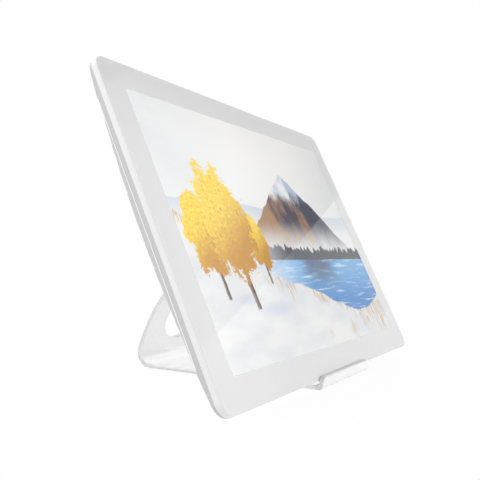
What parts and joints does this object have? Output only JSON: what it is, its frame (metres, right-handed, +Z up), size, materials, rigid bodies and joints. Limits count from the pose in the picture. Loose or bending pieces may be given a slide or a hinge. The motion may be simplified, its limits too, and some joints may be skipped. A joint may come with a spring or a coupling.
{
  "type": "digital photo frame",
  "caption": "Slim white digital photo frame with an arched grey back, leaning in a one-piece clear acrylic easel with a front lip, a bent base and a curved rear leg.",
  "frame": {"origin": "middle of the easel's footprint, on the surface it stands on", "axes": "+Z up, the screen faces -Y and leans back towards +Y, +X to the right seen from the front"},
  "size_m": [0.244, 0.1236, 0.1619],
  "materials": {
    "clear_acrylic": "clear polished acrylic sheet",
    "printed_glass": "clear glass, back-printed white round the picture area",
    "white_plastic": "satin white moulding",
    "grey_plastic": "fine matt light grey moulding",
    "key_plastic": "satin light grey keys",
    "screen": null,
    "black_foam": "soft black foam",
    "bare_metal": "bare tinned sheet steel",
    "white_film": "thin white film",
    "light_guide_acrylic": "clear acrylic plate",
    "led_strip": "white strip with yellow diodes",
    "screw_steel": "zinc-plated steel",
    "circuit_board": "green solder resist",
    "black_plastic": "black moulded resin",
    "lead_sheath": "soft black two-core lead"
  },
  "bodies": {
    "stand": {"stand": "clear_acrylic"},
    "display": {"front_glass": "printed_glass", "front_frame": "white_plastic", "screen_gasket": "black_foam", "lcd_cell": "screen", "lcd_tray": "bare_metal", "diffuser_film": "white_film", "light_guide": "light_guide_acrylic", "reflector_film": "white_film", "led_bar": "led_strip", "mid_frame": "grey_plastic", "rear_cover": "grey_plastic", "cover_screws": "screw_steel", "main_board": "circuit_board", "board_screws": "screw_steel", "card_socket": "bare_metal", "usb_socket": "bare_metal", "power_socket": "black_plastic", "processor_shield": "bare_metal", "memory_chips": "black_plastic", "driver_board": "circuit_board", "ribbon_sockets": "black_plastic", "lcd_ribbon": "white_film", "key_cable": "white_film", "key_board": "circuit_board", "key_switches": "black_plastic", "speaker_left": "black_plastic", "speaker_right": "black_plastic", "speaker_leads": "lead_sheath"},
    "power_button": {"power_button": "key_plastic"},
    "menu_button": {"menu_button": "key_plastic"},
    "up_button": {"up_button": "key_plastic"},
    "down_button": {"down_button": "key_plastic"},
    "enter_button": {"enter_button": "key_plastic"}
  },
  "joints": [
    {"name": "lift_display", "type": "slide", "parent": "stand", "child": "display", "axis": [0, 0.4305, 0.9026], "range_m": [0, 0.05]},
    {"name": "press_power", "type": "slide", "parent": "display", "child": "power_button", "axis": [0, -0.9026, 0.4305], "range_m": [0, 0.00035], "stiffness_N_per_m": 900, "springref_m": -0.0004},
    {"name": "press_menu", "type": "slide", "parent": "display", "child": "menu_button", "axis": [0, -0.9026, 0.4305], "range_m": [0, 0.00035], "stiffness_N_per_m": 900, "springref_m": -0.0004},
    {"name": "press_up", "type": "slide", "parent": "display", "child": "up_button", "axis": [0, -0.9026, 0.4305], "range_m": [0, 0.00035], "stiffness_N_per_m": 900, "springref_m": -0.0004},
    {"name": "press_down", "type": "slide", "parent": "display", "child": "down_button", "axis": [0, -0.9026, 0.4305], "range_m": [0, 0.00035], "stiffness_N_per_m": 900, "springref_m": -0.0004},
    {"name": "press_enter", "type": "slide", "parent": "display", "child": "enter_button", "axis": [0, -0.9026, 0.4305], "range_m": [0, 0.00035], "stiffness_N_per_m": 900, "springref_m": -0.0004}
  ]
}
